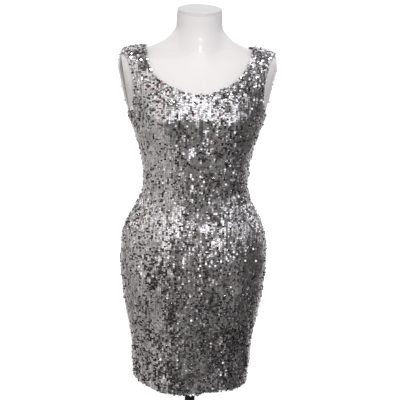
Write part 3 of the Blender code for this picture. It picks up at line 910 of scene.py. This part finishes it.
# Where handling has ruffled the sequins more or less than elsewhere, or leans them up or down.
RUFFLES = table(
    "angle height half_angle half_height share lean",
    (-46, 0.300, 16, 0.055, 1.1, 0.0),
    (-30, 0.215, 16, 0.050, 0.7, 0.0),
    (-20, 0.330, 20, 0.050, 0.5, 0.0),
    (-40, 0.060, 24, 0.080, 1.2, 0.0),
    (46, 0.100, 26, 0.130, 1.1, 0.0),
    (4, 0.594, 38, 0.034, 0.5, 0.08),
    (-2, 0.668, 20, 0.014, 0.0, 0.05),
    (0, 0.405, 46, 0.048, 0.0, -0.045),
    (-56, 0.660, 12, 0.030, 0.5, 0.0),
    (-42, 0.620, 20, 0.045, -0.9, 0.0),
    (-55, 0.780, 30, 0.050, 1.0, 0.0),
    (52, 0.775, 30, 0.060, 2.0, 0.0),
    (10, 0.440, 20, 0.035, 0.5, 0.0),
    (-68, 0.240, 15, 0.150, -0.9, 0.0),
    (-64, 0.570, 18, 0.045, -0.7, 0.0),
    (-40, 0.470, 12, 0.050, -0.3, 0.0),
    (0, 0.690, 40, 0.032, -1.0, 0.0),
    (150, 0.560, 24, 0.050, 0.7, 0.0),
    (-150, 0.300, 24, 0.060, 0.8, 0.0),
    (175, 0.420, 24, 0.050, -0.5, 0.0),
    (-120, 0.150, 20, 0.080, 0.6, 0.0),
    (120, 0.230, 18, 0.080, 0.6, 0.0),
)
SMALL_SPOTS = 480
SMALL_SPOT_SIZE = (8.0, 0.026)
SMALL_SPOT_TOP = 0.82
SMALL_SPOT_SHARE = 0.9
SMALL_SPOT_SLOPE = 0.07

chance = np.random.default_rng(20)


def row_grid(side, behind):
    """Points along every vertical row of sequins of one half panel, and which of them count."""
    neck_bottom = BACK_NECK if behind else FRONT_NECK
    spread = np.linspace(0.0, BACK_SPREAD if behind else FRONT_SPREAD, SPREAD_STEPS)
    fine = from_centre(spread, behind)[None, :]
    levels = np.arange(0.0, neck_bottom, LEVEL_STEP)[:, None]
    heights = with_hem(side * fine, levels)
    ring = cloth_points(side * fine, heights, GROUND_CLOTH)
    arcs = run_lengths(ring, 1)
    edges = from_centre(edge_angle(behind, levels[:, 0]), behind)
    edge_arcs = np.array([np.interp(e, spread, arc) for e, arc in zip(edges, arcs)])
    columns = (np.arange(int(edge_arcs.max() / ROW_SPACING) + 1) + 0.5) * ROW_SPACING
    turns = np.array([np.interp(columns, arc, spread) for arc in arcs])
    angle = from_centre(turns, behind)
    height = with_hem(side * angle, levels)
    margin = ROLL_REACH[0] if behind else EDGE_MARGIN
    margins = np.where(levels < UNDERARM, EDGE_MARGIN, margin)
    counts = columns[None, :] < edge_arcs[:, None] - margins

    # On the strap the rows keep their distance from the armhole's edge.
    rises = strap_rises(STRAP_LEVELS)[:, None]
    share = np.linspace(0.0, 1.0, STRAP_STEPS)[None, :]
    strap_angle, strap_height = strap_place(side, behind, rises, share)
    strap = cloth_points(side * strap_angle, strap_height, GROUND_CLOTH)[:, ::-1]
    widths = run_lengths(strap, 1)
    from_edge = widths[0, -1] - columns
    shares = np.array([1.0 - np.interp(from_edge, width, share[0]) for width in widths])
    top_angle, top_height = strap_place(side, behind, rises, shares)
    top_counts = (from_edge > margin) & (from_edge < widths[:, -1:] - EDGE_MARGIN)

    angle = np.concatenate((angle, top_angle))
    height = np.concatenate((height, top_height))
    points = keep_apart(cloth_points(side * angle, height, GROUND_CLOTH), behind)
    level = np.concatenate((levels + 0 * turns, top_height))
    return points, level, np.concatenate((counts, top_counts))


def row_frames(points):
    """Directions up and out at each point of a grid of rows."""
    across = unit(np.gradient(points, axis=1))
    up = unit(np.gradient(points, axis=0))
    out = unit(np.cross(across, up))
    middle = points * BODY_MIDDLE
    middle[..., 2] = np.minimum(points[..., 2] - BODY_MIDDLE_DROP, HEM_HEIGHT + BODY_MIDDLE_TOP)
    facing = np.sum(out * (points - middle), axis=-1, keepdims=True)
    return up, np.where(facing < 0, -out, out)


def place_small_spots():
    """Many small spots, each more or less ruffled and sloping its own way."""
    angles = chance.uniform(-180, 180, SMALL_SPOTS)
    heights = chance.uniform(0.0, SMALL_SPOT_TOP, SMALL_SPOTS)
    shares = chance.normal(0, SMALL_SPOT_SHARE, SMALL_SPOTS)
    return angles, heights, shares, chance.normal(0, SMALL_SPOT_SLOPE, (SMALL_SPOTS, 2))


def local_state(angles, heights):
    """The share of sequins that are turned at places on the dress, and their slope there."""
    spot_angles, spot_heights, spot_shares, spot_slopes = small_spots
    near = bell(wrap(angles[:, None] - spot_angles), SMALL_SPOT_SIZE[0])
    near = near * bell(heights[:, None] - spot_heights, SMALL_SPOT_SIZE[1])
    field = 1.0 + near @ spot_shares
    slopes = near @ spot_slopes
    for spot in RUFFLES:
        close = bell(wrap(angles - spot.angle), spot.half_angle)
        close = close * bell(heights - spot.height, spot.half_height)
        field = field + spot.share * close
        slopes[:, 0] += spot.lean * close
    return np.clip(TURNED * field, *TURNED_LIMITS), slopes


def row_tilts(shares):
    """Tilts down one row. Most sequins lie nearly flat, and here and there a few are turned."""
    count = len(shares)
    flat = chance.normal(0, 1, (count, 2))
    down = chance.random(count) < DOWN_SHARE
    lean = np.where(down, chance.uniform(*TURNED_DOWN, count), chance.uniform(*TURNED_UP, count))
    turned = np.stack((lean, chance.normal(0, TURNED_SWAY, count)), -1)
    draws = chance.random(count)
    is_turned = draws < shares
    for i in range(1, count):
        flat[i] = TILT_HOLD * flat[i - 1] + math.sqrt(1 - TILT_HOLD ** 2) * flat[i]
        enter = shares[i] * (1 - TURNED_RUN) / (1 - shares[i])
        is_turned[i] = draws[i] < (max(TURNED_RUN, shares[i]) if is_turned[i - 1] else enter)
        if is_turned[i] and is_turned[i - 1]:
            turned[i] = TURNED_HOLD * turned[i - 1] + (1 - TURNED_HOLD) * turned[i]
    return TILT * flat + turned * is_turned[:, None]


def edge_lines(side, behind):
    """Hem, armhole and neckline of one half panel: points, ways out, spacing and reach."""
    neck_bottom = BACK_NECK if behind else FRONT_NECK
    turns = from_centre(np.linspace(0.0, 90.0, HEM_STEPS), behind)
    rises = strap_rises(EDGE_LEVELS)
    yoke = np.linspace(UNDERARM + LEVEL_STEP, neck_bottom, YOKE_STEPS)
    outer = strap_place(side, behind, rises, 1.0)
    inner = strap_place(side, behind, rises[rises < NECKLINE_END], 0.0)
    armhole = [np.concatenate(both) for both in zip((edge_angle(behind, yoke), yoke), outer)]
    lines = (
        (turns, with_hem(side * turns, 0.0), EDGE_STEP, EDGE_REACH),
        (*armhole, *((LOOSE_STEP, LOOSE_REACH) if behind else (EDGE_STEP, EDGE_REACH))),
        (*inner, EDGE_STEP, EDGE_REACH),
    )
    for angle, height, step, reach in lines:
        line = keep_apart(cloth_points(side * angle, height, GROUND_CLOTH), behind)
        yield line, outward_from(cloth_points, side * angle, height), step, reach


def edge_sequins(side, behind):
    """The sequins that are sewn along the edges, and stand a little over them."""
    places, outs, ups, reaches = [], [], [], []
    for line, out, step, reach in edge_lines(side, behind):
        gone = run_lengths(line, 0)
        marks = np.arange(chance.uniform(0, step), gone[-1], step)
        marks = (marks + chance.normal(0, 2 * JITTER, len(marks))).clip(0, gone[-1])
        nearest = np.searchsorted(gone, marks).clip(1, len(gone) - 1)
        places.append(points_at(line, marks))
        outs.append(out[nearest])
        ups.append(unit(line[nearest] - line[nearest - 1]))
        reaches.append(np.full((len(marks), 1), reach))
    places, outs, ups, reaches = (np.concatenate(rows) for rows in (places, outs, ups, reaches))
    shift = unit(np.cross(ups, outs)) * chance.normal(0, 1, (len(places), 1)) * reaches
    return places + shift, outs, ups, chance.normal(0, EDGE_TURNED, (len(places), 2))


def sequin_places(side, behind):
    """Centre, outward, upward, lean and sway of every sequin on one half panel."""
    points, level, counts = row_grid(side, behind)
    up, out = row_frames(points)
    bare = [run for run in BARE_RUNS if run.behind == behind and run.side == side]
    places, outs, ups, tilts = [], [], [], []
    for column in range(points.shape[1]):
        line = points[:, column]
        gone = run_lengths(line, 0)
        marks = np.arange(EDGE_MARGIN + chance.uniform(0, SEQUIN_STEP * 0.6), gone[-1], SEQUIN_STEP)
        marks = marks + chance.normal(0, JITTER, len(marks))
        nearest = np.searchsorted(gone, marks).clip(1, len(gone) - 1)
        keep = counts[nearest, column] & counts[nearest - 1, column]
        heights = np.interp(marks, gone, level[:, column])
        for run in bare:
            if run.column == column:
                keep &= (heights < run.low) | (heights > run.high)
        keep &= chance.random(len(marks)) > MISSING
        marks, nearest = marks[keep], nearest[keep]
        places.append(points_at(line, marks))
        outs.append(out[nearest, column])
        ups.append(up[nearest, column])
        reach = np.flatnonzero(counts[:, column])
        ends = (gone[reach[0]], gone[reach[-1]]) if len(reach) else (0, 0)
        at_edge = (marks < ends[0] + EDGE_BAND) | (marks > ends[1] - EDGE_BAND)
        round_body = np.degrees(np.arctan2(places[-1][:, 0], -places[-1][:, 1]))
        shares, slopes = local_state(round_body, heights[keep])
        tilts.append(slopes + row_tilts(shares) * np.where(at_edge, EDGE_TILT, 1.0)[:, None])
    rows = [np.concatenate(column) for column in (places, outs, ups, tilts)]
    return [np.concatenate(both) for both in zip(rows, edge_sequins(side, behind))]


def sequin_mesh(name, centres, outs, ups, tilts):
    """All the sequins of one half panel as one mesh of small closed lenses."""
    count = len(centres)
    hang = np.interp(centres[:, 2:] - HEM_HEIGHT, HANG_HEIGHTS, HANG)
    outs = unit(outs - hang * np.minimum(outs, 0.0) * (0.0, 0.0, 1.0))
    ups = unit(ups - outs * np.sum(ups * outs, axis=-1, keepdims=True))
    across = unit(np.cross(ups, outs))
    tilts = np.clip(tilts, -TILT_LIMIT, TILT_LIMIT)
    normal = unit(outs + ups * (LAP_TILT + tilts[:, :1]) + across * tilts[:, 1:])
    side_on = unit(np.cross(ups, normal))
    head = np.cross(normal, side_on)
    stands = np.minimum(TURNED_LIFT[0] * np.abs(tilts).max(1, keepdims=True), TURNED_LIFT[1])
    lift = chance.uniform(*LIFT, (count, 1)) + stands
    centres = centres + outs * lift + across * chance.normal(0, JITTER, (count, 1))
    turn = chance.uniform(0, math.tau, (count, 1))
    spots = turn + np.arange(SEQUIN_SIDES)[None, :] * math.tau / SEQUIN_SIDES
    ring = (centres[:, None] + SEQUIN_RADIUS * (np.cos(spots)[..., None] * side_on[:, None]
                                                + np.sin(spots)[..., None] * head[:, None]))
    top = centres - normal * SEQUIN_CUP
    under = top - normal * SEQUIN_FILM
    vertices = np.concatenate((ring, top[:, None], under[:, None]), axis=1).reshape(-1, 3)

    i = np.arange(SEQUIN_SIDES)
    j = (i + 1) % SEQUIN_SIDES
    upper = np.stack((i, j, np.full_like(i, SEQUIN_SIDES)), -1)
    lower = np.stack((j, i, np.full_like(i, SEQUIN_SIDES + 1)), -1)
    one = np.concatenate((upper, lower))
    faces = (one[None] + np.arange(count)[:, None, None] * (SEQUIN_SIDES + 2)).reshape(-1, 3)
    mesh = bpy.data.meshes.new(name)
    mesh.from_pydata(vertices, [], faces)
    map_sequins(mesh, count)
    return mesh


def map_sequins(mesh, count):
    """Lays the sequins out side by side, face and back, each pair in its own cell of a map."""
    across = math.ceil(math.sqrt(count))
    cell = np.stack((np.arange(count) % across, np.arange(count) // across), -1)[:, None]
    spots = np.arange(SEQUIN_SIDES) * math.tau / SEQUIN_SIDES
    rim = np.stack((0.22 * np.cos(spots), 0.45 * np.sin(spots)), -1)
    i = np.arange(SEQUIN_SIDES)
    j = (i + 1) % SEQUIN_SIDES
    middle = np.zeros_like(rim)
    face = np.stack((rim[i], rim[j], middle), 1) + (0.25, 0.5)
    behind = np.stack((rim[j], rim[i], middle), 1) + (0.75, 0.5)
    corners = np.concatenate((face, behind)).reshape(1, -1, 2)
    layout = (cell + corners) / across
    mesh.uv_layers.new(name="OFBake").uv.foreach_set("vector", layout.astype(np.float32).ravel())


def silver_film():
    material, tree, shader = new_finish("silver sequin film")
    chance_of = add_node(tree, "NewGeometry").outputs["Random Per Island"]
    tone = add_node(tree, "ValToRGB", Fac=chance_of)
    ramp = tone.color_ramp
    ramp.interpolation = "CONSTANT"
    stops = (
        (0.000, (0.80, 0.79, 0.78)),
        (0.360, (0.73, 0.72, 0.71)),
        (0.600, (0.86, 0.85, 0.84)),
        (0.780, (0.64, 0.63, 0.63)),
        (0.880, (0.74, 0.76, 0.80)),
        (0.930, (0.76, 0.70, 0.64)),
        (0.965, (0.50, 0.49, 0.49)),
        (0.996, (0.38, 0.15, 0.19)),
        (0.998, (0.40, 0.56, 0.46)),
    )
    while len(ramp.elements) < len(stops):
        ramp.elements.new(1.0)
    for element, (at, color) in zip(ramp.elements, stops):
        element.position = at
        element.color = (*color, 1)
    shuffle = add_node(tree, "TexWhiteNoise", {"noise_dimensions": "1D"}, W=chance_of)
    dulled = add_node(tree, "MapRange", Value=shuffle.outputs["Value"], To_Min=0.07,
                      To_Max=0.20)
    set_inputs(tree, shader, Base_Color=tone.outputs["Color"], Metallic=1.0,
               Roughness=dulled.outputs["Result"])
    return material


film = silver_film()
small_spots = place_small_spots()
sequins = {}
for behind, panel in ((False, "front"), (True, "back")):
    for side, hand in ((-1, "left"), (1, "right")):
        name = f"sequins_{panel}_{hand}"
        mesh = sequin_mesh(name, *sequin_places(side, behind))
        piece = bpy.data.objects.new(name, mesh)
        sequins[panel, hand] = put_in_place(piece, film, "sequined_cloth")

# ------------------------------
# The studio. A plain white floor and surround, a broad pale card on the left, a soft box over
# the front for the dress and one for the form, a lamp for the linings, a thin one for the
# form's neck, and a camera a little above the shoulders.
# ------------------------------
CAMERA_DISTANCE = 3.0
CAMERA_HEIGHT = 1.10
CAMERA_AZIMUTH = -3.0
CAMERA_PITCH = 12.08
CAMERA_ROLL = 1.55
CAMERA_AIM = -0.237
FOCAL_LENGTH = 115.2
FLOOR_SIZE = 60.0
FLOOR_DROP = 0.0005


def make_camera():
    lens = bpy.data.cameras.new("camera")
    lens.lens = FOCAL_LENGTH
    lens.sensor_width = 36.0
    camera = bpy.data.objects.new("camera", lens)
    turn = math.radians(CAMERA_AZIMUTH)
    camera.location = (CAMERA_DISTANCE * math.sin(turn), -CAMERA_DISTANCE * math.cos(turn),
                       HEM_HEIGHT + CAMERA_HEIGHT)
    turns = ((CAMERA_AZIMUTH + CAMERA_AIM, "Z"), (90 - CAMERA_PITCH, "X"), (CAMERA_ROLL, "Z"))
    heading, pitch, roll = (Matrix.Rotation(math.radians(turn), 4, axis) for turn, axis in turns)
    camera.rotation_mode = "QUATERNION"
    camera.rotation_quaternion = (heading @ pitch @ roll).to_quaternion()
    bpy.context.scene.collection.objects.link(camera)
    bpy.context.scene.camera = camera


def make_floor():
    bpy.ops.mesh.primitive_plane_add(size=FLOOR_SIZE, location=(0.0, 0.0, -FLOOR_DROP))
    floor = bpy.context.object
    floor.name = "floor"
    material, tree, shader = new_finish("white floor")
    set_inputs(tree, shader, Base_Color=(0.60, 0.60, 0.60, 1), Roughness=0.9)
    glow = add_node(tree, "Emission", Color=(1, 1, 1, 1), Strength=0.85)
    both = join_values(tree, "AddShader", shader.outputs[0], glow.outputs[0])
    seen = add_node(tree, "LightPath").outputs["Is Camera Ray"]
    pick = join_values(tree, "MixShader", seen, shader.outputs[0], both.outputs[0])
    set_inputs(tree, tree.nodes["Material Output"], Surface=pick.outputs[0])
    floor.data.materials.append(material)
    floor.visible_glossy = False
    floor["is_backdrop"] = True


def make_surround():
    """White to the eye. To the dress it is pale left and behind, bright above, dark below."""
    world = bpy.data.worlds.new("surround")
    world.use_nodes = True
    bpy.context.scene.world = world
    tree = world.node_tree
    tree.nodes.clear()
    way = add_node(tree, "TexCoord").outputs["Generated"]

    def patch(direction, start, end, low, high):
        """Light that goes from low to high as the way turns toward a direction."""
        toward = join_values(tree, "VectorMath", way, direction, operation="DOT_PRODUCT")
        ramp = add_node(tree, "MapRange", {"interpolation_type": "SMOOTHSTEP"},
                        Value=toward.outputs["Value"], From_Min=start, From_Max=end,
                        To_Min=low, To_Max=high)
        return ramp.outputs["Result"]

    def upward(start, end, low, high):
        return patch((0.0, 0.0, 1.0), start, end, low, high)

    def backward(start, end, low, high):
        return patch((0.0, 1.0, 0.0), start, end, low, high)

    def join(operation, first, *others):
        for other in others:
            first = calculate(tree, operation, first, other)
        return first

    # In front: dark below, bright above, with three darker cards on the right.
    rising = join("ADD", upward(-0.58, -0.02, 0.012, 0.25), upward(0.15, 0.38, 0.0, 1.36))
    low_card = patch((0.97, 0.10, -0.22), 0.88, 0.98, 1.0, 0.82)
    high_card = patch((0.55, -0.45, 0.70), 0.955, 0.985, 1.0, 0.15)
    side_card = patch((0.95, -0.26, 0.17), 0.86, 0.96, 1.0, 0.38)
    front_glow = join("MULTIPLY", rising, upward(0.50, 0.70, 1.0, 0.20),
                      low_card, high_card, side_card)
    near_floor = join("MULTIPLY", patch((0.0, 0.0, -1.0), 0.50, 0.75, 0.0, 0.10),
                      patch((0.0, -1.0, 0.0), 0.30, 0.60, 0.0, 1.0))
    front_glow = join("MAXIMUM", front_glow, near_floor)

    # On the left: a broad pale card.
    left = join("MULTIPLY", patch((-1.0, 0.0, 0.30), 0.22, 0.62, 0.0, 1.0),
                backward(0.25, 0.60, 1.0, 0.0))
    card = join("ADD", upward(-0.60, -0.38, 0.02, 0.36), upward(-0.30, 0.02, 0.0, 0.23),
                upward(0.20, 0.40, 0.0, 0.46))
    card = join("MULTIPLY", card, upward(0.48, 0.75, 1.0, 0.08))
    blend = add_node(tree, "Mix", {"data_type": "FLOAT"}, Factor=left, A=front_glow, B=card)

    # Behind: even and pale. The light from above is a little cooler than the rest.
    glow = join("MAXIMUM", blend.outputs["Result"], backward(0.40, 0.70, 0.0, 0.68))
    cool = join("SUBTRACT", upward(0.10, 0.34, 0.0, 1.0), left)
    tint = blend_colors(tree, cool, (1.0, 0.950, 0.960), (0.955, 0.950, 1.0))
    lit = add_node(tree, "Background", Color=tint, Strength=glow)
    plain = add_node(tree, "Background", Color=(1, 1, 1, 1), Strength=1.0)
    seen = add_node(tree, "LightPath").outputs["Is Camera Ray"]
    pick = join_values(tree, "MixShader", seen, lit.outputs[0], plain.outputs[0])
    add_node(tree, "OutputWorld", Surface=pick.outputs[0])


def make_soft_box(name, place, target, size, power, only):
    """An area light that faces a target and lights only some pieces."""
    light = bpy.data.lights.new(name, "AREA")
    light.shape = "RECTANGLE"
    light.size, light.size_y = size
    light.energy = power
    box = bpy.data.objects.new(name, light)
    box.location = place
    box.rotation_euler = (Vector(target) - Vector(place)).to_track_quat("-Z", "Y").to_euler()
    bpy.context.scene.collection.objects.link(box)
    lit = bpy.data.collections.new(f"lit by {name}")
    for piece in only:
        lit.objects.link(piece)
    box.light_linking.receiver_collection = lit


make_camera()
make_floor()
make_surround()
chest = (0.0, 0.0, HEM_HEIGHT + 0.60)
garment = [front, back, *linings, *sequins.values()]
neck = (0.0, -0.06, HEM_HEIGHT + 0.825)
make_soft_box("key_box", place=(0.13, -1.48, 3.25), target=chest, size=(0.55, 0.45),
              power=40.0, only=garment)
make_soft_box("form_box", place=(-0.15, -1.83, 2.82), target=neck, size=(2.20, 2.20),
              power=32.0, only=[torso, cap])
make_soft_box("lining_lamp", place=(0.0, -3.0, 1.20), target=chest, size=(1.20, 0.40),
              power=35.0, only=linings)
make_soft_box("neck_lamp", place=(0.14, -2.36, 1.93), target=neck, size=(0.40, 0.07),
              power=7.5, only=[torso])
bpy.context.scene.view_settings.view_transform = "Standard"

boxes = {"cad": cad_box, "visual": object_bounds()}
{key: [list(corner) for corner in box] for key, box in boxes.items()}
